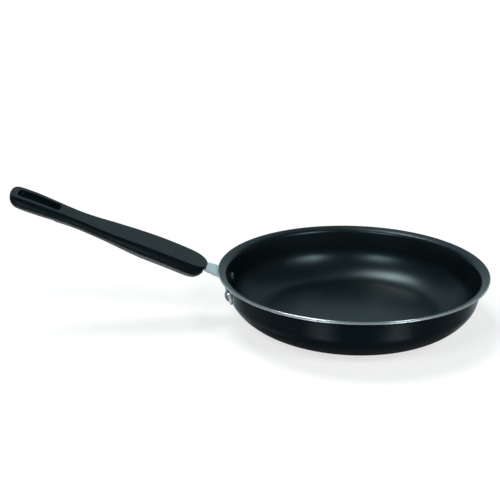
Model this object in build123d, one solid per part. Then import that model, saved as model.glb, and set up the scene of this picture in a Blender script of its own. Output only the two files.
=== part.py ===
from build123d import *
import os
from math import asin, cos, degrees, radians, sin, sqrt, tan

os.makedirs("parts", exist_ok=True)

# An omelette pan with a riveted strap and a moulded grip. Millimetres and degrees, +Z up.
# The origin is the middle of the flat base, on the surface that the pan stands on.
# The handle points to -X and rises as it goes.

# Pan: one disc of sheet, pressed to a shallow bowl. Angles are above level, at the end of each bend.
# The belly takes up what is left of the height, and the flat base what is left of the radius
rim_radius = 120.0
pan_height = 46.0
pan_sheet = 2.2
knuckle_radius = 30.0
knuckle_angle = 22.4
belly_angle = 53.7
shoulder_radius = 25.0
wall_angle = 77.0
wall_length = 14.6
crest_radius = 5.0
flare_angle = 22.1
flare_length = 5.4
rim_edge_round = 0.6

# Strap: a plate on the wall, a neck under the rim and a tang inside the grip, all one blank
strap_sheet = 2.0
strap_bend_radius = 2.0
plate_width = 60.6
plate_height = 13.0
plate_corner_round = 5.0
plate_lap_angle = 15.0
neck_width = 26.0
neck_round = 4.0
nose_width = 21.0
nose_depth = 5.0
tang_depth = 33.0
tang_side = 2.2
tang_end = 5.2
tang_round = 1.5

# Rivets: two through the wall and the plate, at one height above the foot of the straight wall
rivet_from_side = 8.3
rivet_up_wall = 2.4
rivet_shank_radius = 2.5
rivet_hole_play = 0.05
rivet_head_radius = 4.7
rivet_head_edge = 0.6
rivet_outer_head = 2.3
rivet_inner_head = 1.7

# Grip: flat on top, with a rounded belly, a waist and a loop with a long hanging slot
strap_show = 9.0
grip_cover = 2.5
grip_length = 182.1
grip_width = 39.0
grip_depth = 17.6
grip_crown = 1.35
grip_edge_round = 0.9
nose_length = 16.5
nose_power = 2.25
tip_length = 9.0
tip_power = 2.9
keel_length = 16.0
keel_power = 2.4
slot_length = 38.4
slot_past_end = 6.0
slot_start_width = 14.6
slot_end_width = 17.6
slot_start_round = 3.0
slot_end_round = 6.5
slot_edge_round = 0.9

# Socket in the grip, and the screw that draws the grip onto the tang
socket_play = 0.3
screw_depth = 6.0
screw_radius = 2.0
screw_bore_play = 0.2
screw_head_radius = 4.0
screw_head_height = 2.6
screw_head_edge = 1.4
screw_slot_width = 1.1
screw_slot_depth = 1.2
screw_past_nut = 1.5
head_recess = 6.0
washer_radius = 4.3
washer_sheet = 0.8
washer_play = 0.2
nut_width = 7.0
nut_length = 3.2
nut_window_play = 0.3
screw_end_play = 1.0

# How far a cutting tool runs past what it cuts
overrun = 2.0

# Share of the grip's length, then shares of its half width, its depth and its crown
grip_body_shares = [
    (0.090, 0.955, 1.000, 0.65),
    (0.155, 0.982, 1.000, 0.92),
    (0.246, 0.998, 0.992, 1.00),
    (0.340, 0.966, 0.955, 0.80),
    (0.427, 0.913, 0.842, 0.39),
    (0.504, 0.843, 0.737, 0.00),
    (0.580, 0.722, 0.685, -0.23),
    (0.678, 0.642, 0.676, -0.12),
    (0.788, 0.704, 0.770, 0.25),
    (0.876, 0.778, 0.818, 0.42),
    (0.912, 0.792, 0.824, 0.38),
]

# How far round each end of the grip its sections are taken, as shares of a quarter turn
nose_turn_shares = [0.04, 0.16, 0.32, 0.5, 0.7]
tip_turn_shares = [0.2, 0.4, 0.58, 0.74, 0.87, 0.96]


def direction(angle):
    """Unit step in a section of the pan, at an angle above level."""
    return Vector(cos(radians(angle)), sin(radians(angle)))


def bend_reach(radius, low_angle, high_angle):
    """How far outwards a bend of the sheet goes between two angles above level."""
    return radius * (sin(radians(high_angle)) - sin(radians(low_angle)))


def bend_rise(radius, low_angle, high_angle):
    """How far up a bend of the sheet goes between two angles above level."""
    return radius * (cos(radians(low_angle)) - cos(radians(high_angle)))


# The rim's upper corner, from which its edge is rounded so that it ends at the pan's height
rim_corner = pan_height + rim_edge_round * (tan(radians(flare_angle)) + 1 / cos(radians(flare_angle)) - 1)

# What the belly and the base take up, along the sheet's inner face
inner_knuckle = knuckle_radius - pan_sheet
inner_shoulder = shoulder_radius - pan_sheet
straights = direction(wall_angle) * wall_length + direction(flare_angle) * flare_length
bends_rise = (
    bend_rise(inner_knuckle, 0, knuckle_angle)
    + bend_rise(inner_shoulder, belly_angle, wall_angle)
    + bend_rise(crest_radius, flare_angle, wall_angle)
)
belly_rise = rim_corner - pan_sheet - straights.Y - bends_rise
inner_belly = belly_rise / (cos(radians(knuckle_angle)) - cos(radians(belly_angle)))
bends_reach = (
    bend_reach(inner_knuckle, 0, knuckle_angle)
    + bend_reach(inner_belly, knuckle_angle, belly_angle)
    + bend_reach(inner_shoulder, belly_angle, wall_angle)
    + bend_reach(crest_radius, flare_angle, wall_angle)
)
belly_radius = inner_belly + pan_sheet
base_radius = rim_radius - straights.X - bends_reach


def bowl_line(depth):
    """The pan's section from its axis to the foot of its straight wall, at a depth into the sheet."""
    floor = Line((0, depth), (base_radius, depth))
    knuckle = JernArc(floor @ 1, floor % 1, knuckle_radius - depth, knuckle_angle)
    belly = JernArc(knuckle @ 1, knuckle % 1, belly_radius - depth, belly_angle - knuckle_angle)
    shoulder = JernArc(belly @ 1, belly % 1, shoulder_radius - depth, wall_angle - belly_angle)
    return [floor, knuckle, belly, shoulder]


def pan_line(depth):
    """The whole section from the pan's axis to the rim's edge, at a depth into the sheet."""
    bowl = bowl_line(depth)
    wall_foot = bowl[-1] @ 1
    wall = Line(wall_foot, wall_foot + direction(wall_angle) * wall_length)
    crest = JernArc(wall @ 1, wall % 1, crest_radius - pan_sheet + depth, flare_angle - wall_angle)
    flare_run = (rim_radius - (crest @ 1).X) / cos(radians(flare_angle))
    flare = Line(crest @ 1, crest @ 1 + direction(flare_angle) * flare_run)
    return bowl + [wall, crest, flare]


def band(outside, inside):
    """The face between two lines of a section, closed by straight edges at both ends."""
    start = Line(outside[0] @ 0, inside[0] @ 0)
    end = Line(outside[-1] @ 1, inside[-1] @ 1)
    return make_face([*outside, end, *inside, start])


# Where the rivets stand: on the wall's outer face, square to it
outer_foot = bowl_line(0)[-1] @ 1
rivet_foot = outer_foot + direction(wall_angle) * rivet_up_wall
rivet_radius = rivet_foot.X
wall_outwards = (-sin(radians(wall_angle)), 0, -cos(radians(wall_angle)))
rivet_plane = Plane(origin=(-rivet_radius, 0, rivet_foot.Y), x_dir=(0, 1, 0), z_dir=wall_outwards)
rivet_across = plate_width / 2 - rivet_from_side
rivet_angle = degrees(asin(rivet_across / (rivet_radius + strap_sheet)))
rivet_turns = {"rivet_front": Rot(0, 0, rivet_angle), "rivet_back": Rot(0, 0, -rivet_angle)}

# Where the grip lies: its top starts over the strap, and rises in line with the rim's flare
grip_cos = cos(radians(flare_angle))
grip_sin = sin(radians(flare_angle))
rim_underside = rim_corner - pan_sheet / grip_cos
nose_rise = strap_show * grip_sin / grip_cos + grip_cover / grip_cos
grip_plane = Plane(
    origin=(-rim_radius - strap_show, 0, rim_underside + nose_rise),
    x_dir=(-grip_cos, 0, grip_sin),
    z_dir=(grip_sin, 0, grip_cos),
)

# The nut's window in the tang, as lengths from the grip's nose, and the slot, from the grip's tip
nut_window_length = nut_length + 2 * nut_window_play
nut_window_width = nut_width + 2 * nut_window_play
nut_from_nose = tang_depth - tang_end - nut_window_length
tang_width = nut_window_width + 2 * tang_side
slot_end = grip_length - slot_past_end
slot_start = slot_end - slot_length
washer_seat = slot_start - head_recess


def rivet_holes():
    """Both rivet holes, long enough for the wall and the plate."""
    length = pan_sheet + strap_sheet + overrun + overrun
    hole = rivet_plane * Pos(0, 0, strap_sheet - pan_sheet) * Cylinder(rivet_shank_radius + rivet_hole_play, length)
    return [turn * hole for turn in rivet_turns.values()]


def make_pan_shell():
    """The pressed disc, with its rim turned to a lightly rounded edge."""
    section = band(pan_line(0), pan_line(pan_sheet))
    rim_corners = section.vertices().group_by(Axis.X)[-1]
    section = fillet(rim_corners, rim_edge_round)
    shell = revolve(Plane.XZ * section, Axis.Z)
    return shell - rivet_holes()


def strap_line(depth):
    """The strap's section from the plate's lower edge to the tang's end; the face on the pan is at depth 0."""
    shoulder = bowl_line(depth)[-1]
    start = 1 - plate_lap_angle / (wall_angle - belly_angle)
    lap = JernArc(shoulder @ start, shoulder % start, shoulder_radius - depth, plate_lap_angle)
    half_turn = radians((wall_angle - flare_angle) / 2)
    pan_corner = (crest_radius - pan_sheet) * tan(half_turn)
    strap_corner = (strap_bend_radius + strap_sheet) * tan(half_turn)
    run = wall_length + pan_corner - strap_corner
    wall = Line(lap @ 1, lap @ 1 + direction(wall_angle) * run)
    bend = JernArc(wall @ 1, wall % 1, strap_bend_radius + strap_sheet + depth, flare_angle - wall_angle)
    tang_reach = rim_radius + strap_show + (tang_depth + grip_cover * grip_sin / grip_cos) * grip_cos
    tang_run = (tang_reach - (bend @ 1).X) / grip_cos
    tang = Line(bend @ 1, bend @ 1 + direction(flare_angle) * tang_run)
    return [lap, wall, bend, tang]


def plate_outline():
    """The plate and its neck, seen along the handle: Y across, Z up."""
    side = plate_width / 2
    neck = neck_width / 2
    low = rivet_foot.Y - plate_height / 2
    high = rivet_foot.Y + plate_height / 2
    points = [(side, low), (side, high), (neck, high), (neck, pan_height)]
    mirrored = [(-across, up) for across, up in reversed(points)]
    corner = min(plate_corner_round, plate_height / 2.2)
    rounds = [corner, corner, neck_round, 0]
    return make_face(FilletPolyline(*points, *mirrored, radius=rounds + rounds[::-1], close=True))


def tang_outline():
    """The neck's taper and the tang, in the grip's plane: length from the grip's nose, then across."""
    neck = neck_width / 2
    nose = nose_width / 2
    tang = tang_width / 2
    start = -strap_show - (rim_radius - rivet_radius) / grip_cos
    points = [(start, neck), (-strap_show, neck), (0, nose), (nose_depth, nose), (nose_depth, tang)]
    points.append((tang_depth, tang))
    mirrored = [(along, -across) for along, across in reversed(points)]
    rounds = [0, 0, 0, tang_round, tang_round, tang_round]
    return make_face(FilletPolyline(*points, *mirrored, radius=rounds + rounds[::-1], close=True))


def make_handle_bracket():
    """The strap: a bent band turned about the pan's axis, trimmed to the plate, the neck and the tang."""
    half_angle = degrees(asin((plate_width / 2 + overrun) / rivet_radius))
    blank = revolve(Plane.XZ * band(strap_line(0), strap_line(-strap_sheet)), Axis.Z, 2 * half_angle)
    blank = Rot(0, 0, 180 - half_angle) * blank
    plate_reach = -rim_radius - strap_show / 2
    plate = extrude(Plane.YZ.offset(plate_reach) * plate_outline(), -plate_reach)
    tang = grip_plane * extrude(tang_outline(), pan_height / 2, both=True)
    strap = blank & (plate + tang)
    window_middle = nut_from_nose + nut_window_length / 2
    window = Pos(window_middle, 0, -screw_depth) * Box(nut_window_length, nut_window_width, nut_width)
    notch_start = nut_from_nose - screw_past_nut - screw_end_play
    notch_length = tang_depth - notch_start + overrun
    notch_width = 2 * (screw_radius + screw_bore_play)
    notch = Pos(notch_start + notch_length / 2, 0, -screw_depth) * Box(notch_length, notch_width, nut_width)
    return strap - grip_plane * (window + notch) - rivet_holes()


def head_edges(seat, height, radius, edge):
    """Half the section of a low domed head that stands on its seat, up from the seat's level."""
    rise = height - edge
    dome_radius = (radius * radius + rise * rise) / (2 * rise)
    dome = JernArc((0, seat + height), (1, 0), dome_radius, -degrees(asin(radius / dome_radius)))
    side = Line((radius, seat + edge), (radius, seat))
    return [dome, side]


def make_rivet():
    """A solid rivet on its own axis: an inner head, a shank through wall and plate, and an outer head."""
    inner_radius = rivet_radius - pan_sheet
    hollow = inner_radius - sqrt(inner_radius ** 2 - rivet_head_radius ** 2)
    outer = head_edges(strap_sheet, rivet_outer_head, rivet_head_radius, rivet_head_edge)
    inner = head_edges(pan_sheet + hollow, rivet_inner_head, rivet_head_radius, rivet_head_edge)
    inner = [mirror(edge, Plane.XZ) for edge in inner]
    top = outer[-1] @ 1
    bottom = inner[-1] @ 1
    shank_top = (rivet_shank_radius, top.Y)
    shank_bottom = (rivet_shank_radius, bottom.Y)
    shank = Polyline(top, shank_top, shank_bottom, bottom)
    axis = Line(outer[0] @ 0, inner[0] @ 0)
    section = make_face([*outer, *shank.edges(), *inner, axis])
    return rivet_plane * revolve(Plane.XZ * section, Axis.Z)


def round_end(left, length, power):
    """How full a section is when so much length is left before a rounded end."""
    missing = max(0, 1 - left / length)
    return (1 - missing ** power) ** (1 / power)


def grip_section(station, half_width, depth, crown):
    """A section across the grip: a flat top with rounded edges over a half oval belly."""
    edge_round = min(grip_edge_round, half_width / 3, depth / 3)
    top = Line((-half_width + edge_round, crown), (half_width - edge_round, crown))
    right = JernArc(top @ 1, (1, 0), edge_round, -90)
    belly = depth - edge_round
    pull = 4 / 3 * (sqrt(2) - 1)
    low = (0, crown - depth)
    edge_height = crown - edge_round
    right_belly = Bezier(
        (half_width, edge_height),
        (half_width, edge_height - pull * belly),
        (pull * half_width, crown - depth),
        low,
    )
    left = mirror(right, Plane.YZ)
    left_belly = mirror(right_belly, Plane.YZ)
    return Plane.YZ.offset(station) * make_face([top, right, right_belly, left_belly, left])


def grip_sections():
    """The grip's sections from nose to tip, with both ends drawn in to a rounded point."""
    first = grip_body_shares[0]
    last = grip_body_shares[-1]
    rows = []
    for share in nose_turn_shares:
        station = nose_length * (1 - cos(radians(90 * share)))
        rows.append((station, first[1], first[2], first[3] * station / nose_length))
    for share, width, depth, crown in grip_body_shares:
        rows.append((share * grip_length, width, depth, crown))
    for share in tip_turn_shares:
        station = grip_length - keel_length * (1 - sin(radians(90 * share)))
        rows.append((station, last[1], last[2], last[3] * (grip_length - station) / keel_length))
    sections = []
    for station, width, depth, crown in rows:
        left = grip_length - station
        nose = round_end(station, nose_length, nose_power)
        half_width = grip_width / 2 * width * nose * round_end(left, tip_length, tip_power)
        full_depth = grip_depth * depth * nose * round_end(left, keel_length, keel_power)
        sections.append(grip_section(station, half_width, full_depth, grip_crown * crown))
    return sections


def hanging_slot():
    """The slot through the loop: a little wider at its far end, with rounded corners."""
    start = slot_start_width / 2
    end = slot_end_width / 2
    points = [(slot_start, -start), (slot_end, -end), (slot_end, end), (slot_start, start)]
    rounds = [slot_start_round, slot_end_round, slot_end_round, slot_start_round]
    outline = make_face(FilletPolyline(*points, radius=rounds, close=True))
    return Pos(0, 0, grip_crown + overrun) * extrude(outline, -grip_depth - grip_crown - 2 * overrun)


def tang_socket():
    """The hollow that takes the strap, the tang and the nut, and the bore for the screw and its head."""
    strap_middle = -grip_cover - strap_sheet / 2
    strap_height = strap_sheet + 2 * socket_play
    mouth = nose_depth + tang_round + socket_play + overrun
    pocket = Pos(mouth / 2 - overrun, 0, strap_middle) * Box(mouth, nose_width + 2 * socket_play, strap_height)
    reach = tang_depth + socket_play + overrun
    tang = Pos(reach / 2 - overrun, 0, strap_middle) * Box(reach, tang_width + 2 * socket_play, strap_height)
    channel_size = nut_width + 2 * socket_play
    channel = Pos(reach / 2 - overrun, 0, -screw_depth) * Box(reach, channel_size, channel_size)
    bore_length = slot_start - tang_depth + 2 * overrun
    bore_middle = (slot_start + tang_depth) / 2
    bore = Cylinder(screw_radius + screw_bore_play, bore_length, rotation=(0, 90, 0))
    recess = Cylinder(washer_radius + washer_play, head_recess + overrun, rotation=(0, 90, 0))
    recess_middle = washer_seat + (head_recess + overrun) / 2
    bores = Pos(bore_middle, 0, -screw_depth) * bore + Pos(recess_middle, 0, -screw_depth) * recess
    return pocket + tang + channel + bores


def slot_rims(body):
    """The edges round the hanging slot, above and below: those inside its outline that don't run through it."""
    inside = body.edges().filter_by_position(Axis.X, slot_start - overrun, slot_end + overrun)
    inside = inside.filter_by_position(Axis.Y, -slot_end_width / 2, slot_end_width / 2)
    across = [edge for edge in inside if edge.bounding_box().size.Z < grip_depth / 3]
    return [edge for edge in across if abs(edge.center().Y) < slot_end_width / 2]


def make_grip():
    """The moulding: a loft from nose to tip, less the hanging slot and the socket."""
    body = loft(grip_sections())
    body = body - hanging_slot()
    body = fillet(slot_rims(body), slot_edge_round)
    return grip_plane * (body - tang_socket())


def make_grip_screw():
    """The long screw: a low domed, slotted head in its recess, a plain shank and its end past the nut."""
    seat = washer_seat + washer_sheet
    end = nut_from_nose - screw_past_nut
    head = head_edges(0, screw_head_height, screw_head_radius, screw_head_edge)
    rest = Polyline(head[-1] @ 1, (screw_radius, 0), (screw_radius, end - seat), (0, end - seat), head[0] @ 0)
    turned = revolve(Plane.XZ * make_face([*head, *rest.edges()]), Axis.Z)
    slot_middle = screw_head_height - screw_slot_depth / 2 + overrun / 2
    slot = Pos(0, 0, slot_middle) * Box(2 * screw_head_radius, screw_slot_width, screw_slot_depth + overrun)
    screw = Pos(seat, 0, -screw_depth) * Rot(0, 90, 0) * (turned - slot)
    return grip_plane * screw


def make_screw_washer():
    """A flat washer between the screw's head and the bottom of its recess."""
    ring = Cylinder(washer_radius, washer_sheet) - Cylinder(screw_radius + screw_bore_play, 2 * washer_sheet)
    return grip_plane * Pos(washer_seat + washer_sheet / 2, 0, -screw_depth) * Rot(0, 90, 0) * ring


def make_tang_nut():
    """A square nut, drawn against the far side of its window in the tang."""
    blank = Box(nut_length, nut_width, nut_width)
    thread = Cylinder(screw_radius, 2 * nut_length, rotation=(0, 90, 0))
    place = nut_from_nose + nut_window_length - nut_length / 2
    return grip_plane * Pos(place, 0, -screw_depth) * (blank - thread)


nodes = {
    "pan_shell": make_pan_shell(),
    "handle_bracket": make_handle_bracket(),
    "grip": make_grip(),
    "grip_screw": make_grip_screw(),
    "screw_washer": make_screw_washer(),
    "tang_nut": make_tang_nut(),
}
rivet = make_rivet()
for name, turn in rivet_turns.items():
    nodes[name] = turn * rivet

for name, shape in nodes.items():
    shape.label = name
    export_step(shape, f"parts/{name}.step")
    print(name, len(shape.solids()), round(shape.volume, 1))
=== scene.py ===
from math import asin, cos, degrees, pi, radians, sin, sqrt, tan

import bmesh
import bpy
from mathutils import Matrix, Vector


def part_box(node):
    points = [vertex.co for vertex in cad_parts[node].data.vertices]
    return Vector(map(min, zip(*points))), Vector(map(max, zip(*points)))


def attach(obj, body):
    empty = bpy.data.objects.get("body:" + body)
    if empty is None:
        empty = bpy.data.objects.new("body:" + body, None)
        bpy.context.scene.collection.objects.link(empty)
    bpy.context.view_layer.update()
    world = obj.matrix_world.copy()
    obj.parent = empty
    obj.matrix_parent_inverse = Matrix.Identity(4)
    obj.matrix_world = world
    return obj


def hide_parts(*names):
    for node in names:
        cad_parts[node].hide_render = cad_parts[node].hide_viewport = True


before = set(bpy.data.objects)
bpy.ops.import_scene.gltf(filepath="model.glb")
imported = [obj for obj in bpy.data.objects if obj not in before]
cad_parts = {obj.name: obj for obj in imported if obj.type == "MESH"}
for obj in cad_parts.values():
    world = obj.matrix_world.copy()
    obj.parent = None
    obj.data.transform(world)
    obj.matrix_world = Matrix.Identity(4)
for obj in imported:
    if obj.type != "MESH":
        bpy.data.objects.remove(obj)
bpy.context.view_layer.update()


# Pan shell. One disc of aluminium sheet, pressed to a shallow bowl with a flared rim. It is enamelled
# outside and has a non-stick coating inside; the turned edge of the rim and the ground base are bare.

shell_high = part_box("pan_shell")[1]
rim_radius = shell_high.x
pan_height = shell_high.z
pan_sheet = 0.0022
knuckle_radius = 0.03
knuckle_angle = 22.4
belly_angle = 53.7
shoulder_radius = 0.025
wall_angle = 77
wall_length = 0.0146
crest_radius = 0.005
flare_angle = 22.1
flare_length = 0.0054
rim_edge_round = 0.0006
steps_round_pan = 288
knuckle_steps = 6
belly_steps = 12
shoulder_steps = 10
outer_crest_steps = 6
inner_crest_steps = 8
lower_edge_steps = 4
upper_edge_steps = 5
flat_ring_shares = (0.97, 0.9, 0.7, 0.4, 0.1)
same_place = 1e-6


def direction(angle):
    """Unit step in the pan's section, at an angle above level."""
    return Vector((cos(radians(angle)), 0, sin(radians(angle))))


def bend_reach(radius, low_angle, high_angle):
    """How far outwards and up a bend of the sheet goes between two angles above level."""
    low, high = radians(low_angle), radians(high_angle)
    return Vector((sin(high) - sin(low), 0, cos(low) - cos(high))) * radius


def draw_straight(mesh, tip, step):
    """Draws a straight line on from the tip of a section, and gives its new tip."""
    drawn = bmesh.ops.extrude_vert_indiv(mesh, verts=[tip])["verts"][0]
    bmesh.ops.translate(mesh, verts=[drawn], vec=step)
    return drawn


def draw_bend(mesh, tip, heading, turn, radius, steps):
    """Draws an arc on from a tip that heads at an angle above level; a turn to the left is positive."""
    side = 1 if turn > 0 else -1
    centre = tip.co + direction(heading + 90 * side) * radius
    geometry = bmesh.ops.spin(
        mesh, geom=[tip], cent=centre, axis=(0, -1, 0), angle=radians(turn), steps=steps,
        use_duplicate=False,
    )
    return [part for part in geometry["geom_last"] if isinstance(part, bmesh.types.BMVert)][0]


def turn_section(mesh, steps):
    """Turns a drawn section full round the Z axis to a closed surface."""
    bmesh.ops.spin(
        mesh, geom=mesh.verts[:] + mesh.edges[:], cent=(0, 0, 0), axis=(0, 0, 1), angle=2 * pi,
        steps=steps, use_merge=True, use_duplicate=False,
    )
    bmesh.ops.remove_doubles(mesh, verts=mesh.verts[:], dist=same_place)
    bmesh.ops.recalc_face_normals(mesh, faces=mesh.faces[:])


def new_object(name, data):
    """Puts a mesh into the scene as an object at the origin."""
    piece = bpy.data.objects.new(name, data)
    bpy.context.scene.collection.objects.link(piece)
    return piece


def finish_mesh(mesh, name, cutters=(), sharp_angle=34):
    """Makes an object of a bmesh, less the space of its cutters; its edges are sharp past an angle."""
    data = bpy.data.meshes.new(name)
    mesh.to_mesh(data)
    piece = new_object(name, data)
    for number, cutter in enumerate(cutters):
        tool_data = bpy.data.meshes.new(f"{name}_cutter_{number}")
        cutter.to_mesh(tool_data)
        cutter.free()
        tool = new_object(tool_data.name, tool_data)
        cut = piece.modifiers.new("cut", "BOOLEAN")
        cut.operation = "DIFFERENCE"
        cut.solver = "EXACT"
        cut.object = tool
        depsgraph = bpy.context.evaluated_depsgraph_get()
        cut_data = bpy.data.meshes.new_from_object(piece.evaluated_get(depsgraph))
        mesh.clear()
        mesh.from_mesh(cut_data)
        piece.modifiers.clear()
        mesh.to_mesh(data)
        bpy.data.objects.remove(tool)
        bpy.data.meshes.remove(tool_data)
        bpy.data.meshes.remove(cut_data)
    for face in mesh.faces:
        face.smooth = True
    mesh.normal_update()
    for edge in mesh.edges:
        edge.smooth = len(edge.link_faces) == 2 and edge.calc_face_angle(0) < radians(sharp_angle)
    mesh.to_mesh(data)
    mesh.free()
    return piece


rim_corner = pan_height + rim_edge_round * (tan(radians(flare_angle)) + 1 / cos(radians(flare_angle)) - 1)
straights = direction(wall_angle) * wall_length + direction(flare_angle) * flare_length
fixed_bends = (
    bend_reach(knuckle_radius - pan_sheet, 0, knuckle_angle)
    + bend_reach(shoulder_radius - pan_sheet, belly_angle, wall_angle)
    + bend_reach(crest_radius, flare_angle, wall_angle)
)
unit_belly = bend_reach(1, knuckle_angle, belly_angle)
inner_belly = (rim_corner - pan_sheet - (straights + fixed_bends).z) / unit_belly.z
belly_radius = inner_belly + pan_sheet
base_radius = rim_radius - (straights + fixed_bends).x - inner_belly * unit_belly.x

# The base is ground in fine rings, from near its edge to its middle
ring_pitch = 0.0016
ring_depth = 0.00009
ring_from_edge = 0.004
ring_outer = base_radius - ring_from_edge
ring_inner = 0.006
ring_count = round((ring_outer - ring_inner) / ring_pitch)

shell = bmesh.new()
tip = shell.verts.new((0, 0, 0))
tip = draw_straight(shell, tip, Vector((ring_inner, 0, 0)))
for ring in range(ring_count):
    tip = draw_straight(shell, tip, Vector((ring_pitch / 2, 0, ring_depth)))
    tip = draw_straight(shell, tip, Vector((ring_pitch / 2, 0, -ring_depth)))
tip = draw_straight(shell, tip, Vector((base_radius - tip.co.x, 0, 0)))
tip = draw_bend(shell, tip, 0, knuckle_angle, knuckle_radius, knuckle_steps)
tip = draw_bend(shell, tip, knuckle_angle, belly_angle - knuckle_angle, belly_radius, belly_steps)
tip = draw_bend(shell, tip, belly_angle, wall_angle - belly_angle, shoulder_radius, shoulder_steps)
wall_foot = tip.co.copy()
tip = draw_straight(shell, tip, direction(wall_angle) * wall_length)
outer_crest = crest_radius - pan_sheet
tip = draw_bend(shell, tip, wall_angle, flare_angle - wall_angle, outer_crest, outer_crest_steps)
lower_round = rim_edge_round * tan(radians((90 - flare_angle) / 2))
upper_round = rim_edge_round * tan(radians((90 + flare_angle) / 2))
lower_flare = (rim_radius - tip.co.x) / cos(radians(flare_angle)) - lower_round
tip = draw_straight(shell, tip, direction(flare_angle) * lower_flare)
tip = draw_bend(shell, tip, flare_angle, 90 - flare_angle, rim_edge_round, lower_edge_steps)
edge_height = pan_sheet / cos(radians(flare_angle)) - lower_round - upper_round
tip = draw_straight(shell, tip, Vector((0, 0, edge_height)))
tip = draw_bend(shell, tip, 90, 90 + flare_angle, rim_edge_round, upper_edge_steps)
tip = draw_straight(shell, tip, -direction(flare_angle) * (flare_length - upper_round))
tip = draw_bend(shell, tip, 180 + flare_angle, wall_angle - flare_angle, crest_radius, inner_crest_steps)
tip = draw_straight(shell, tip, -direction(wall_angle) * wall_length)
inner_shoulder = shoulder_radius - pan_sheet
inner_knuckle = knuckle_radius - pan_sheet
tip = draw_bend(shell, tip, 180 + wall_angle, belly_angle - wall_angle, inner_shoulder, shoulder_steps)
tip = draw_bend(shell, tip, 180 + belly_angle, knuckle_angle - belly_angle, inner_belly, belly_steps)
tip = draw_bend(shell, tip, 180 + knuckle_angle, -knuckle_angle, inner_knuckle, knuckle_steps)
for share in flat_ring_shares:
    tip = draw_straight(shell, tip, Vector((base_radius * share - tip.co.x, 0, 0)))
tip = draw_straight(shell, tip, Vector((-tip.co.x, 0, 0)))
turn_section(shell, steps_round_pan)
coating_inside, enamel_outside, bare_edge, ground_base = range(4)
for face in shell.faces:
    middle = face.calc_center_median()
    if middle.xy.length > rim_radius - rim_edge_round:
        face.material_index = bare_edge
    elif face.normal.z > 0:
        face.material_index = coating_inside
    elif middle.z < 2 * ring_depth and middle.xy.length < base_radius:
        face.material_index = ground_base
    else:
        face.material_index = enamel_outside

# Two rivet holes go square through the wall, and through the strap that lies on it
strap_sheet = 0.002
plate_width = 0.0606
rivet_from_side = 0.0083
rivet_up_wall = 0.0024
rivet_shank_radius = 0.0025
rivet_hole_play = 0.00005
drill_length = 0.012
drill_sides = 48
rivet_foot = wall_foot + direction(wall_angle) * rivet_up_wall
rivet_angle = asin((plate_width / 2 - rivet_from_side) / (rivet_foot.x + strap_sheet))
outwards = Vector((-sin(radians(wall_angle)), 0, -cos(radians(wall_angle))))
down_wall = outwards.cross(Vector((0, 1, 0)))
rivet_axes = Matrix((Vector((0, 1, 0)), down_wall, outwards)).transposed().to_4x4()
rivet_place = Matrix.Translation((-rivet_foot.x, 0, rivet_foot.z)) @ rivet_axes
rivet_turns = {
    "rivet_front": Matrix.Rotation(rivet_angle, 4, "Z"),
    "rivet_back": Matrix.Rotation(-rivet_angle, 4, "Z"),
}


def rivet_hole_cutters():
    """Two drills as wide as the rivet holes, through the wall and the strap."""
    drills = []
    for turn in rivet_turns.values():
        drill = bmesh.new()
        bmesh.ops.create_cone(
            drill, cap_ends=True, segments=drill_sides, depth=drill_length, matrix=turn @ rivet_place,
            radius1=rivet_shank_radius + rivet_hole_play, radius2=rivet_shank_radius + rivet_hole_play,
        )
        drills.append(drill)
    return drills


pan_shell = finish_mesh(shell, "pan_shell_visual", rivet_hole_cutters())


def add_node(tree, kind, inputs, **settings):
    """Adds a node; each of its inputs is given a value, or a socket to be linked to."""
    node = tree.nodes.new(kind)
    for setting, value in settings.items():
        setattr(node, setting, value)
    for socket, value in inputs.items():
        if isinstance(value, bpy.types.NodeSocket):
            tree.links.new(value, node.inputs[socket])
        else:
            node.inputs[socket].default_value = value
    return node


def new_effect(name, inputs):
    """Starts a node group for a surface effect, with number inputs; it puts out a tone and a height."""
    group = bpy.data.node_groups.new(name, "ShaderNodeTree")
    for socket, value in inputs.items():
        given = group.interface.new_socket(socket, in_out="INPUT", socket_type="NodeSocketFloat")
        given.default_value = value
    for socket in ("Tone", "Height"):
        group.interface.new_socket(socket, in_out="OUTPUT", socket_type="NodeSocketFloat")
    place = add_node(group, "ShaderNodeTexCoord", {}).outputs["Object"]
    return group, add_node(group, "NodeGroupInput", {}).outputs, place


def spread(tree, value, low=0.3, high=0.7):
    """Stretches what lies between two values to 0 to 1."""
    inputs = {"Value": value, "From Min": low, "From Max": high}
    return add_node(tree, "ShaderNodeMapRange", inputs).outputs["Result"]


def fine_grain_effect():
    """Fine even grain, as of a sprayed or moulded surface, with wide cloudy patches."""
    group, given, place = new_effect("fine_grain", {"Grains per Metre": 1200.0, "Patches per Metre": 40.0})
    grain = add_node(group, "ShaderNodeTexNoise", {
        "Vector": place, "Scale": given["Grains per Metre"], "Detail": 2.0, "Roughness": 0.55,
    }).outputs["Fac"]
    patches = add_node(group, "ShaderNodeTexNoise", {
        "Vector": place, "Scale": given["Patches per Metre"], "Detail": 3.0, "Roughness": 0.6,
        "Distortion": 0.4,
    }).outputs["Fac"]
    add_node(group, "NodeGroupOutput", {
        "Tone": spread(group, patches), "Height": spread(group, grain, low=0.25, high=0.75),
    })
    return group


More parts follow.
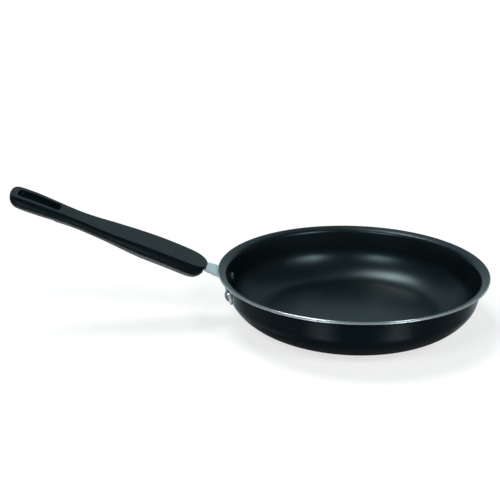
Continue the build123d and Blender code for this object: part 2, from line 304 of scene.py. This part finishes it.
def turned_rings_effect():
    """Fine rings round the Z axis, as a lathe's tool or a grinding disc leaves them."""
    group, given, place = new_effect("turned_rings", {"Rings per Metre": 2500.0})
    flat = add_node(group, "ShaderNodeVectorMath", {0: place, 1: (1, 1, 0)}, operation="MULTIPLY")
    radius = add_node(
        group, "ShaderNodeVectorMath", {0: flat.outputs["Vector"]}, operation="LENGTH",
    ).outputs["Value"]
    height = add_node(group, "ShaderNodeSeparateXYZ", {"Vector": place}).outputs["Z"]
    section = add_node(group, "ShaderNodeCombineXYZ", {"X": radius, "Y": height}).outputs["Vector"]
    rings = add_node(group, "ShaderNodeTexNoise", {
        "Vector": section, "Scale": given["Rings per Metre"], "Detail": 3.0, "Roughness": 0.7,
    }, noise_dimensions="2D").outputs["Fac"]
    bands = add_node(group, "ShaderNodeTexNoise", {
        "Vector": section, "Scale": 320.0, "Detail": 4.0, "Roughness": 0.7,
    }, noise_dimensions="2D").outputs["Fac"]
    add_node(group, "NodeGroupOutput", {"Tone": spread(group, bands), "Height": spread(group, rings)})
    return group


def brushed_lines_effect():
    """Long fine lines in one direction, which the stretches set, as a brushing belt leaves them."""
    stretches = {"Along X": 60.0, "Along Y": 3000.0, "Along Z": 60.0}
    group, given, place = new_effect("brushed_lines", stretches)
    stretch = add_node(group, "ShaderNodeCombineXYZ", {
        "X": given["Along X"], "Y": given["Along Y"], "Z": given["Along Z"],
    }).outputs["Vector"]
    pulled = add_node(group, "ShaderNodeVectorMath", {0: place, 1: stretch}, operation="MULTIPLY")
    lines = add_node(group, "ShaderNodeTexNoise", {
        "Vector": pulled.outputs["Vector"], "Scale": 1.0, "Detail": 4.0, "Roughness": 0.65,
    }).outputs["Fac"]
    wide = add_node(group, "ShaderNodeTexNoise", {"Vector": place, "Scale": 90.0, "Detail": 3.0})
    add_node(group, "NodeGroupOutput", {
        "Tone": spread(group, wide.outputs["Fac"]), "Height": spread(group, lines),
    })
    return group


fine_grain = fine_grain_effect()
turned_rings = turned_rings_effect()
brushed_lines = brushed_lines_effect()


def new_material(name, dark, light, roughness, effects, **shader_values):
    """A finish that runs between two colours and two roughnesses with its first effect's tone.

    Each effect is a node group, what it is given, and the depth of its relief in metres.
    """
    material = bpy.data.materials.new(name)
    material.use_nodes = True
    tree = material.node_tree
    shader = tree.nodes["Principled BSDF"]
    for socket, value in shader_values.items():
        shader.inputs[socket.replace("_", " ")].default_value = value
    tone = relief = None
    for group, given, depth in effects:
        effect = add_node(tree, "ShaderNodeGroup", {}, node_tree=group)
        for socket, value in given.items():
            effect.inputs[socket].default_value = value
        tone = tone or effect.outputs["Tone"]
        inputs = {"Height": effect.outputs["Height"], "Strength": 1.0, "Distance": depth}
        if relief:
            inputs["Normal"] = relief
        relief = add_node(tree, "ShaderNodeBump", inputs).outputs["Normal"]
    mix = add_node(tree, "ShaderNodeMix", {0: tone, 6: (*dark, 1), 7: (*light, 1)}, data_type="RGBA")
    rough = add_node(tree, "ShaderNodeMapRange", {
        "Value": tone, "To Min": roughness[0], "To Max": roughness[1],
    })
    tree.links.new(mix.outputs[2], shader.inputs["Base Color"])
    tree.links.new(rough.outputs["Result"], shader.inputs["Roughness"])
    tree.links.new(relief, shader.inputs["Normal"])
    return material


coating_grain_depth = 0.0000012
enamel_ripple_depth = 0.000002
edge_line_depth = 0.0000004
base_line_depth = 0.00002

coating = new_material(
    "nonstick_coating",
    dark=(0.0011, 0.0038, 0.0048), light=(0.0017, 0.0054, 0.0066), roughness=(0.285, 0.335),
    effects=[(fine_grain, {"Grains per Metre": 2400.0, "Patches per Metre": 22.0}, coating_grain_depth)],
    Specular_IOR_Level=0.3, Specular_Tint=(0.66, 0.96, 1.0, 1),
)
enamel = new_material(
    "black_enamel",
    dark=(0.0014, 0.005, 0.0068), light=(0.002, 0.0064, 0.0084), roughness=(0.16, 0.2),
    effects=[(fine_grain, {"Grains per Metre": 420.0, "Patches per Metre": 30.0}, enamel_ripple_depth)],
    Specular_IOR_Level=0.045, Specular_Tint=(0.72, 0.95, 1.0, 1),
)
edge_metal = new_material(
    "bare_rim_edge",
    dark=(0.47, 0.53, 0.56), light=(0.55, 0.61, 0.64), roughness=(0.18, 0.22),
    effects=[(turned_rings, {"Rings per Metre": 4000.0}, edge_line_depth)], Metallic=1.0,
)
base_metal = new_material(
    "ground_base",
    dark=(0.26, 0.27, 0.28), light=(0.56, 0.57, 0.58), roughness=(0.24, 0.34),
    effects=[(turned_rings, {"Rings per Metre": 2500.0}, base_line_depth)], Metallic=1.0,
)
for surface in (coating, enamel, edge_metal, base_metal):
    pan_shell.data.materials.append(surface)
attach(pan_shell, "root")
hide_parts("pan_shell")


# Handle bracket. One strip of 2 mm steel, punched to its outline, with the cut edges tumbled smooth, then
# bent: its plate lies on the pan's wall, its neck passes under the rim and its tang goes into the grip.

plate_height = 0.013
plate_corner_round = 0.005
plate_lap_angle = 15
neck_width = 0.026
neck_round = 0.004
nose_width = 0.021
nose_depth = 0.005
tang_depth = 0.033
tang_width = 0.012
tang_round = 0.0015
strap_bend_radius = 0.002
strap_show = 0.009
grip_cover = 0.0025
notch_width = 0.0044
notch_start = 0.0215
nut_window_width = 0.0076
nut_window_start = 0.024
nut_window_end = 0.0278
cut_edge_round = 0.00025
across_step = 0.0015
steps_to_side = 20
lap_steps = 8
bend_steps = 12
tang_run_limit = 1

# The strip's side that faces the pan, from the plate's lower edge to the tang: each run's length and bend
half_turn = radians((wall_angle - flare_angle) / 2)
bend_radius = strap_bend_radius + strap_sheet
wall_run = wall_length + (crest_radius - pan_sheet - bend_radius) * tan(half_turn)
lap_run = shoulder_radius * radians(plate_lap_angle)
lap_start = wall_foot - bend_reach(shoulder_radius, wall_angle - plate_lap_angle, wall_angle)
strap_runs = [
    (lap_run, shoulder_radius),
    (wall_run, 0),
    (bend_radius * 2 * half_turn, -bend_radius),
    (tang_run_limit, 0),
]


def strap_point(length):
    """Where the side that faces the pan gets to after a length of the strip, and its angle above level."""
    place = lap_start.copy()
    angle = wall_angle - plate_lap_angle
    for run, radius in strap_runs:
        step = min(length, run)
        if radius:
            turn = degrees(step / radius)
            place += bend_reach(radius, angle, angle + turn)
            angle += turn
        else:
            place += direction(angle) * step
        length -= step
    return place, angle


def bent(flat):
    """Where a point of the flat strip comes to lie, once it is bent and curved round the pan's axis."""
    place, angle = strap_point(flat.x)
    place += direction(angle - 90) * flat.z
    return Vector((-sqrt(place.x ** 2 - flat.y ** 2), flat.y, place.z))


def length_at_height(height):
    """How far along the strip its middle passes a height on the wall."""
    middle = height + strap_sheet / 2 * cos(radians(wall_angle))
    return lap_run + (middle - wall_foot.z) / sin(radians(wall_angle))


rim_underside = rim_corner - pan_sheet / cos(radians(flare_angle))
nose_rise = strap_show * tan(radians(flare_angle)) + grip_cover / cos(radians(flare_angle))
grip_start = Vector((rim_radius + strap_show, 0, rim_underside + nose_rise))
tang_run_start = sum(run for run, radius in strap_runs[:3])
tang_run_place = strap_point(tang_run_start)[0]
nose_at = tang_run_start + (grip_start - tang_run_place).dot(direction(flare_angle))
plate_low = length_at_height(rivet_foot.z - plate_height / 2)
plate_high = length_at_height(rivet_foot.z + plate_height / 2)

side_corners = [
    (plate_low, plate_width / 2, plate_corner_round),
    (plate_high, plate_width / 2, plate_corner_round),
    (plate_high, neck_width / 2, neck_round),
    (nose_at - strap_show, neck_width / 2, 0),
    (nose_at, nose_width / 2, 0),
    (nose_at + nose_depth, nose_width / 2, tang_round),
    (nose_at + nose_depth, tang_width / 2, tang_round),
    (nose_at + tang_depth, tang_width / 2, tang_round),
    (nose_at + tang_depth, notch_width / 2, 0),
    (nose_at + nut_window_end, notch_width / 2, 0),
    (nose_at + nut_window_end, nut_window_width / 2, 0),
    (nose_at + nut_window_start, nut_window_width / 2, 0),
    (nose_at + nut_window_start, notch_width / 2, 0),
    (nose_at + notch_start, notch_width / 2, 0),
]
other_side = [(length, -across, corner) for length, across, corner in reversed(side_corners)]
blank = bmesh.new()
rounded = {plate_corner_round: [], neck_round: [], tang_round: []}
outline = []
for length, across, corner in side_corners + other_side:
    outline.append(blank.verts.new((length, across, 0)))
    if corner:
        rounded[corner].append(outline[-1])
blank.faces.new(outline)
for corner, corners in rounded.items():
    bmesh.ops.bevel(
        blank, geom=corners, offset=corner, segments=8, profile=0.5, affect="VERTICES", material=-1,
        clamp_overlap=False,
    )
punched = bmesh.ops.extrude_face_region(blank, geom=blank.faces[:])
raised = [part for part in punched["geom"] if isinstance(part, bmesh.types.BMVert)]
bmesh.ops.translate(blank, verts=raised, vec=(0, 0, strap_sheet))
bmesh.ops.recalc_face_normals(blank, faces=blank.faces[:])
cut_edges = [
    edge for edge in blank.edges if abs(edge.verts[0].co.z - edge.verts[1].co.z) < strap_sheet / 2
]
bmesh.ops.bevel(
    blank, geom=cut_edges, offset=cut_edge_round, segments=3, profile=0.5, affect="EDGES", material=-1,
)
bend_start = lap_run + wall_run
bend_run = tang_run_start - bend_start
stations = [lap_run * step / lap_steps for step in range(2, lap_steps + 1)]
stations += [bend_start + bend_run * step / bend_steps for step in range(bend_steps + 1)]
for station in stations:
    bmesh.ops.bisect_plane(
        blank, geom=blank.verts[:] + blank.edges[:] + blank.faces[:], plane_co=(station, 0, 0),
        plane_no=(1, 0, 0),
    )
for step in range(-steps_to_side, steps_to_side + 1):
    bmesh.ops.bisect_plane(
        blank, geom=blank.verts[:] + blank.edges[:] + blank.faces[:], plane_co=(0, step * across_step, 0),
        plane_no=(0, 1, 0),
    )
for vert in blank.verts:
    vert.co = bent(vert.co)
bmesh.ops.recalc_face_normals(blank, faces=blank.faces[:])
handle_bracket = finish_mesh(blank, "handle_bracket_visual", rivet_hole_cutters())

strap_line_depth = 0.000006
strap_grain_depth = 0.000002
strap_steel = new_material(
    "satin_strap_steel",
    dark=(0.61, 0.68, 0.67), light=(0.71, 0.78, 0.77), roughness=(0.3, 0.38),
    effects=[
        (brushed_lines, {"Along X": 90.0, "Along Y": 2600.0, "Along Z": 90.0}, strap_line_depth),
        (fine_grain, {"Grains per Metre": 1500.0}, strap_grain_depth),
    ],
    Metallic=1.0,
)
handle_bracket.data.materials.append(strap_steel)
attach(handle_bracket, "root")
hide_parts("handle_bracket")


# Rivets. Two solid aluminium rivets, one on each side of the handle: a turned head lies inside the pan,
# and the shank is pressed to a low domed head on the strap's plate outside.

rivet_head_radius = 0.0047
rivet_head_edge = 0.0006
rivet_edge_round = 0.0003
rivet_outer_head = 0.0023
rivet_inner_head = 0.0017
head_edge_steps = 4
head_dome_steps = 12
steps_round_rivet = 72


def head_dome(height, edge, radius, edge_round):
    """A rounded domed head's slope at its edge, its dome's radius and its straight side."""
    rise = height - edge
    slope = asin(2 * radius * rise / (radius * radius + rise * rise))
    dome_radius = (radius - edge_round * (1 - sin(slope))) / sin(slope)
    side = height - dome_radius * (1 - cos(slope)) - edge_round * cos(slope)
    return degrees(slope), dome_radius, side


def draw_head_up(mesh, tip, height, edge, radius, edge_round):
    """Draws a domed head from its seat's outer edge up to its middle."""
    slope, dome_radius, side = head_dome(height, edge, radius, edge_round)
    tip = draw_straight(mesh, tip, Vector((0, 0, side)))
    tip = draw_bend(mesh, tip, 90, 90 - slope, edge_round, head_edge_steps)
    tip = draw_bend(mesh, tip, 180 - slope, slope, dome_radius, head_dome_steps)
    tip.co.x = 0
    return tip


inner_wall_radius = rivet_foot.x - pan_sheet
head_hollow = inner_wall_radius - sqrt(inner_wall_radius ** 2 - rivet_head_radius ** 2)
inner_seat = pan_sheet + head_hollow
slope, dome_radius, side = head_dome(rivet_inner_head, rivet_head_edge, rivet_head_radius, rivet_edge_round)
rivets = {}
for name, turn in rivet_turns.items():
    rivet = bmesh.new()
    tip = rivet.verts.new((0, 0, -inner_seat - rivet_inner_head))
    tip = draw_bend(rivet, tip, 0, slope, dome_radius, head_dome_steps)
    tip = draw_bend(rivet, tip, slope, 90 - slope, rivet_edge_round, head_edge_steps)
    tip = draw_straight(rivet, tip, Vector((0, 0, side)))
    tip = draw_straight(rivet, tip, Vector((rivet_shank_radius - tip.co.x, 0, 0)))
    tip = draw_straight(rivet, tip, Vector((0, 0, inner_seat + strap_sheet)))
    tip = draw_straight(rivet, tip, Vector((rivet_head_radius - tip.co.x, 0, 0)))
    draw_head_up(rivet, tip, rivet_outer_head, rivet_head_edge, rivet_head_radius, rivet_edge_round)
    turn_section(rivet, steps_round_rivet)
    bmesh.ops.transform(rivet, matrix=turn @ rivet_place, verts=rivet.verts[:])
    rivets[name] = finish_mesh(rivet, f"{name}_visual")

rivet_grain_depth = 0.000006
rivet_metal = new_material(
    "satin_rivet_aluminium",
    dark=(0.23, 0.26, 0.27), light=(0.34, 0.37, 0.38), roughness=(0.2, 0.28),
    effects=[(fine_grain, {"Grains per Metre": 1400.0, "Patches per Metre": 260.0}, rivet_grain_depth)],
    Metallic=1.0,
)
for name, rivet in rivets.items():
    rivet.data.materials.append(rivet_metal)
    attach(rivet, "root")
    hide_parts(name)


# Grip. One moulding of black phenolic plastic, flat on top with a rounded belly, a waist and a loop with
# a long hanging slot. It is tumbled after moulding, which leaves it satin with a very fine grain.

grip_grain_depth = 0.000004
grip_ripple_depth = 0.000006
grip_plastic = new_material(
    "black_phenolic",
    dark=(0.0013, 0.0042, 0.0055), light=(0.0019, 0.0058, 0.0074), roughness=(0.26, 0.35),
    effects=[
        (fine_grain, {"Grains per Metre": 1500.0, "Patches per Metre": 35.0}, grip_grain_depth),
        (fine_grain, {"Grains per Metre": 300.0, "Patches per Metre": 35.0}, grip_ripple_depth),
    ],
    Specular_IOR_Level=0.05, Specular_Tint=(0.72, 0.97, 1.0, 1),
)
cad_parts["grip"].data.materials.clear()
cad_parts["grip"].data.materials.append(grip_plastic)


# Screw, washer and nut. A long zinc plated steel screw lies sunk in the slot's inner end, on its washer,
# and draws the grip onto the tang by a square nut that sits in the tang's window.

screw_depth = 0.006
screw_radius = 0.002
thread_pitch = 0.0007
thread_depth = 0.00035
thread_turns = 18
screw_head_radius = 0.004
screw_head_height = 0.0026
screw_head_edge = 0.0014
screw_edge_round = 0.0004
screw_slot_width = 0.0011
screw_slot_depth = 0.0012
screw_end = 0.0225
washer_seat = 0.1317
washer_radius = 0.0043
washer_bore = 0.0022
washer_sheet = 0.0008
nut_width = 0.007
nut_length = 0.0032
nut_edge_round = 0.0004
nut_bore_sides = 48
washer_edge_round = 0.00012
washer_corner_angle = 60
steps_round_screw = 48
steps_round_washer = 64

# Down the grip: how a piece that is made upright on the Z axis comes to lie along the grip
along_grip = Vector((-cos(radians(flare_angle)), 0, sin(radians(flare_angle))))
over_grip = Vector((sin(radians(flare_angle)), 0, cos(radians(flare_angle))))
lying = Matrix((-over_grip, along_grip.cross(-over_grip), along_grip)).transposed().to_4x4()
nose_place = Vector((-grip_start.x, 0, grip_start.z))


def lay_in_grip(mesh, station):
    """Lays an upright piece along the screw's line, with its origin at a length from the grip's nose."""
    place = nose_place + along_grip * station - over_grip * screw_depth
    bmesh.ops.transform(mesh, matrix=Matrix.Translation(place) @ lying, verts=mesh.verts[:])


screw_seat = washer_seat + washer_sheet
screw = bmesh.new()
tip = screw.verts.new((0, 0, screw_end - screw_seat))
tip = draw_straight(screw, tip, Vector((screw_radius - thread_depth, 0, 0)))
for thread in range(thread_turns):
    tip = draw_straight(screw, tip, Vector((thread_depth, 0, thread_pitch / 2)))
    tip = draw_straight(screw, tip, Vector((-thread_depth, 0, thread_pitch / 2)))
tip = draw_straight(screw, tip, Vector((thread_depth, 0, thread_depth)))
tip = draw_straight(screw, tip, Vector((0, 0, -tip.co.z)))
tip = draw_straight(screw, tip, Vector((screw_head_radius - screw_radius, 0, 0)))
draw_head_up(screw, tip, screw_head_height, screw_head_edge, screw_head_radius, screw_edge_round)
turn_section(screw, steps_round_screw)
slot_cutter = bmesh.new()
slot_size = Matrix.Diagonal((3 * screw_head_radius, screw_slot_width, 2 * screw_slot_depth, 1))
bmesh.ops.create_cube(
    slot_cutter, size=1, matrix=Matrix.Translation((0, 0, screw_head_height)) @ slot_size,
)
lay_in_grip(screw, screw_seat)
lay_in_grip(slot_cutter, screw_seat)
grip_screw = finish_mesh(screw, "grip_screw_visual", [slot_cutter])

washer = bmesh.new()
tip = washer.verts.new((washer_bore, 0, 0))
first = tip
tip = draw_straight(washer, tip, Vector((washer_radius - washer_bore, 0, 0)))
tip = draw_straight(washer, tip, Vector((0, 0, washer_sheet)))
tip = draw_straight(washer, tip, Vector((washer_bore - washer_radius, 0, 0)))
washer.edges.new((tip, first))
turn_section(washer, steps_round_washer)
rims = [edge for edge in washer.edges if edge.calc_face_angle(0) > radians(washer_corner_angle)]
bmesh.ops.bevel(
    washer, geom=rims, offset=washer_edge_round, segments=2, profile=0.5, affect="EDGES", material=-1,
)
lay_in_grip(washer, washer_seat)
screw_washer = finish_mesh(washer, "screw_washer_visual")

nut = bmesh.new()
nut_size = Matrix.Diagonal((nut_width, nut_width, nut_length, 1))
bmesh.ops.create_cube(nut, size=1, matrix=Matrix.Translation((0, 0, -nut_length / 2)) @ nut_size)
bmesh.ops.bevel(
    nut, geom=nut.edges[:], offset=nut_edge_round, segments=2, profile=0.5, affect="EDGES", material=-1,
)
nut_bore = bmesh.new()
bmesh.ops.create_cone(
    nut_bore, cap_ends=True, segments=nut_bore_sides, radius1=screw_radius, radius2=screw_radius,
    depth=4 * nut_length,
)
lay_in_grip(nut, nut_window_end)
lay_in_grip(nut_bore, nut_window_end)
tang_nut = finish_mesh(nut, "tang_nut_visual", [nut_bore])

zinc_grain_depth = 0.000006
zinc_plate = new_material(
    "zinc_plate",
    dark=(0.42, 0.43, 0.44), light=(0.58, 0.58, 0.56), roughness=(0.25, 0.4),
    effects=[(fine_grain, {"Grains per Metre": 1800.0, "Patches per Metre": 300.0}, zinc_grain_depth)],
    Metallic=1.0,
)
for piece, name in ((grip_screw, "grip_screw"), (screw_washer, "screw_washer"), (tang_nut, "tang_nut")):
    piece.data.materials.append(zinc_plate)
    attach(piece, "root")
    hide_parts(name)


# Studio. A plain pale floor that keeps the object's shadow and mirrors the lamps a little, three soft
# lamps, and a dim room with a pale screen behind the pan. The floor lets a view from below through, and
# the light that the pan's base gets from there.

floor_reach = 20
floor_edge_sides = 64
floor_drop = 0.0002
floor_colour = (0.85, 0.85, 0.85, 1)
seen_floor_colour = (0.3, 0.3, 0.3, 1)
seen_floor_glow = 0.71
mirrored_glow_share = 0.18
floor_mirror_share = 0.7
base_light_reach = 0.001

floor_mesh = bmesh.new()
bmesh.ops.create_circle(floor_mesh, cap_ends=True, radius=floor_reach, segments=floor_edge_sides)
bmesh.ops.translate(floor_mesh, verts=floor_mesh.verts[:], vec=(0, 0, -floor_drop))
floor = finish_mesh(floor_mesh, "studio_floor")
floor_paint = bpy.data.materials.new("pale_floor")
floor_paint.use_nodes = True
floor_tree = floor_paint.node_tree
floor_shader = floor_tree.nodes["Principled BSDF"]
floor_shader.inputs["Roughness"].default_value = 1.0
floor_shader.inputs["Specular IOR Level"].default_value = 0.0
floor_shader.inputs["Emission Color"].default_value = (1, 1, 1, 1)


def combine(operation, first, second):
    """One sum on two values in the floor's material."""
    node = add_node(floor_tree, "ShaderNodeMath", {0: first, 1: second}, operation=operation)
    return node.outputs["Value"]


# The camera sees the floor almost white by its own glow; bounced light meets its paint
ray = add_node(floor_tree, "ShaderNodeLightPath", {}).outputs
direct = combine("MAXIMUM", ray["Is Camera Ray"], ray["Is Transmission Ray"])
mirrored = combine("MULTIPLY", ray["Is Glossy Ray"], mirrored_glow_share)
seen = combine("MAXIMUM", direct, mirrored)
paint = add_node(floor_tree, "ShaderNodeMix", {
    0: seen, 6: floor_colour, 7: seen_floor_colour,
}, data_type="RGBA")
floor_tree.links.new(paint.outputs[2], floor_shader.inputs["Base Color"])
floor_tree.links.new(combine("MULTIPLY", seen, seen_floor_glow), floor_shader.inputs["Emission Strength"])

# Where the pan's gloss shows the floor, most of the floor mirrors the lamps and the room
shine = add_node(floor_tree, "ShaderNodeBsdfAnisotropic", {"Color": (1, 1, 1, 1), "Roughness": 0.25})
floor_surface = add_node(floor_tree, "ShaderNodeMixShader", {
    0: combine("MULTIPLY", ray["Is Glossy Ray"], floor_mirror_share),
    1: floor_shader.outputs["BSDF"],
    2: shine.outputs["BSDF"],
})
underside = add_node(floor_tree, "ShaderNodeNewGeometry", {}).outputs["Backfacing"]
from_base = combine("LESS_THAN", ray["Ray Length"], base_light_reach)
floor_sides = add_node(floor_tree, "ShaderNodeMixShader", {
    0: combine("MAXIMUM", underside, from_base),
    1: floor_surface.outputs["Shader"],
    2: add_node(floor_tree, "ShaderNodeBsdfTransparent", {}).outputs["BSDF"],
})
floor_tree.links.new(floor_sides.outputs["Shader"], floor_tree.nodes["Material Output"].inputs["Surface"])
floor.data.materials.append(floor_paint)

room_colour = (0.12, 0.14, 0.15, 1)
screen_colour = (0.47, 0.63, 0.68, 1)
horizon_colour = (0.97, 0.97, 0.97, 1)
screen_way = (0, 0.97, 0.26)

world = bpy.data.worlds.new("grey_room")
bpy.context.scene.world = world
world.use_nodes = True
world_tree = world.node_tree
way = add_node(world_tree, "ShaderNodeTexCoord", {}).outputs["Generated"]
ahead = add_node(world_tree, "ShaderNodeVectorMath", {0: way, 1: screen_way}, operation="DOT_PRODUCT")
screen = add_node(world_tree, "ShaderNodeMapRange", {
    "Value": ahead.outputs["Value"], "From Min": 0.55, "From Max": 0.85,
}, interpolation_type="SMOOTHSTEP").outputs["Result"]
room = add_node(world_tree, "ShaderNodeMix", {
    0: screen, 6: room_colour, 7: screen_colour,
}, data_type="RGBA").outputs[2]
rise = add_node(world_tree, "ShaderNodeSeparateXYZ", {"Vector": way}).outputs["Z"]
horizon = add_node(world_tree, "ShaderNodeMapRange", {
    "Value": rise, "From Min": 0.03, "From Max": 0.1, "To Min": 1.0, "To Max": 0.0,
}, interpolation_type="SMOOTHSTEP").outputs["Result"]
sky = add_node(world_tree, "ShaderNodeMix", {0: horizon, 6: room, 7: horizon_colour}, data_type="RGBA")
world_tree.links.new(sky.outputs[2], world_tree.nodes["Background"].inputs["Color"])

lamp_distance = 3
for name, azimuth, elevation, width, share in (
    ("lamp_front_right", 314, 44, 18, 0.22),
    ("lamp_front_left", 233, 46, 18, 0.22),
    ("lamp_back", 134, 69, 20, 0.48),
):
    lamp = bpy.data.lights.new(name, "SUN")
    lamp.angle = radians(width)
    lamp.energy = share * pi / sin(radians(elevation))
    holder = bpy.data.objects.new(name, lamp)
    bpy.context.scene.collection.objects.link(holder)
    towards = Vector((
        cos(radians(azimuth)) * cos(radians(elevation)),
        sin(radians(azimuth)) * cos(radians(elevation)),
        sin(radians(elevation)),
    ))
    holder.rotation_euler = towards.to_track_quat("Z", "Y").to_euler()
    holder.location = towards * lamp_distance


# Camera: as the photograph was taken.

camera = bpy.data.cameras.new("camera")
camera.lens = 76.32
camera.sensor_width = 36
camera_holder = bpy.data.objects.new("camera", camera)
bpy.context.scene.collection.objects.link(camera_holder)
camera_holder.location = (-0.0914, -0.8814, 0.3805)
camera_holder.rotation_euler = (radians(70.198), 0, 0)
bpy.context.scene.camera = camera_holder

bpy.context.scene.view_settings.view_transform = "Standard"
